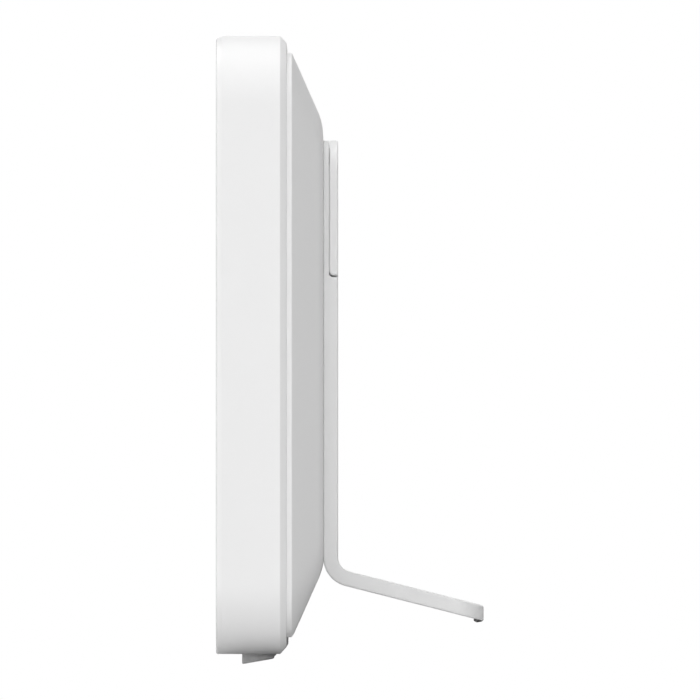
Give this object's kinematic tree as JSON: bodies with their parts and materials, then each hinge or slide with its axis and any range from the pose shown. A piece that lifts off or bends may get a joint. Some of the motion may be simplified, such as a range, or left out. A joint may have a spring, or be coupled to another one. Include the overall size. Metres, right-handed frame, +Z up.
{
  "type": "video doorbell monitor",
  "caption": "Flat rounded indoor monitor of a video doorbell, leaning back on a bent-plate desk stand, with a connector bay behind it.",
  "frame": {"origin": "on the desk, under the middle of the whole object's width and depth", "axes": "+Z up from the desk, +X along the panel's width, -Y the way the screen faces; the panel leans back 9.9 degrees about X"},
  "size_m": [0.193, 0.0552, 0.1261],
  "materials": {
    "cover_glass": "smooth, white printed border",
    "adhesive": "soft foam",
    "touch_film": "gloss",
    "flex_film": "satin film",
    "screen": "gloss, off",
    "plain_metal": "plain",
    "aluminium_sheet": "plain",
    "white_case": "fine matte grain",
    "white_cover": "fine matte grain",
    "stand_paint": "light grey powder coat",
    "screw_steel": "zinc",
    "circuit_board": "solder mask",
    "chip_black": "moulded",
    "soft_pad": "soft",
    "connector_ivory": "moulded",
    "contact_brass": "plain",
    "terminal_green": "moulded",
    "grey_plastic": "moulded",
    "black_plastic": "moulded",
    "black_rubber": "soft",
    "lead_sleeve": "sleeve",
    "foot_rubber": "matte"
  },
  "bodies": {
    "monitor": {"cover_glass": "cover_glass", "glass_adhesive": "adhesive", "touch_sensor": "touch_film", "touch_flex": "flex_film", "lcd_panel": "screen", "backlight_unit": "plain_metal", "display_flex": "flex_film", "housing": "white_case", "back_cover": "white_case", "case_screws": "screw_steel", "main_board": "circuit_board", "board_screws": "screw_steel", "system_chip": "chip_black", "memory_chips": "chip_black", "shield_can": "plain_metal", "thermal_pad": "soft_pad", "heat_spreader": "aluminium_sheet", "power_transformer": "chip_black", "board_capacitors": "aluminium_sheet", "power_inductors": "chip_black", "flex_connectors": "connector_ivory", "network_jack": "plain_metal", "jack_contacts": "contact_brass", "terminal_block": "terminal_green", "terminal_clamps": "screw_steel", "reset_switch": "chip_black", "microphone_board": "circuit_board", "microphone_boot": "black_rubber", "speaker_frame": "black_plastic", "speaker_magnet": "plain_metal", "speaker_gasket": "black_rubber", "speaker_lead": "lead_sleeve", "wifi_antenna": "flex_film", "antenna_lead": "lead_sleeve", "stand_inserts": "contact_brass", "stand": "stand_paint", "stand_screws": "screw_steel", "rear_foot": "foot_rubber", "front_foot_left": "foot_rubber", "front_foot_right": "foot_rubber"},
    "speaker_diaphragm": {"speaker_cone": "black_plastic", "voice_coil": "contact_brass"},
    "reset_button": {"reset_button": "grey_plastic"},
    "screw_cover": {"screw_cover": "white_cover"}
  },
  "joints": [
    {"name": "cover_pull", "type": "slide", "parent": "monitor", "child": "screw_cover", "axis": [0, 0.9851, -0.1719], "range_m": [0, 0.02]},
    {"name": "reset_press", "type": "slide", "parent": "monitor", "child": "reset_button", "axis": [0, -0.9851, 0.1719], "range_m": [0, 0.0003], "stiffness_N_per_m": 800},
    {"name": "cone_stroke", "type": "slide", "parent": "monitor", "child": "speaker_diaphragm", "axis": [0, 0.9851, -0.1719], "range_m": [-0.0002, 0.0002], "stiffness_N_per_m": 600}
  ]
}
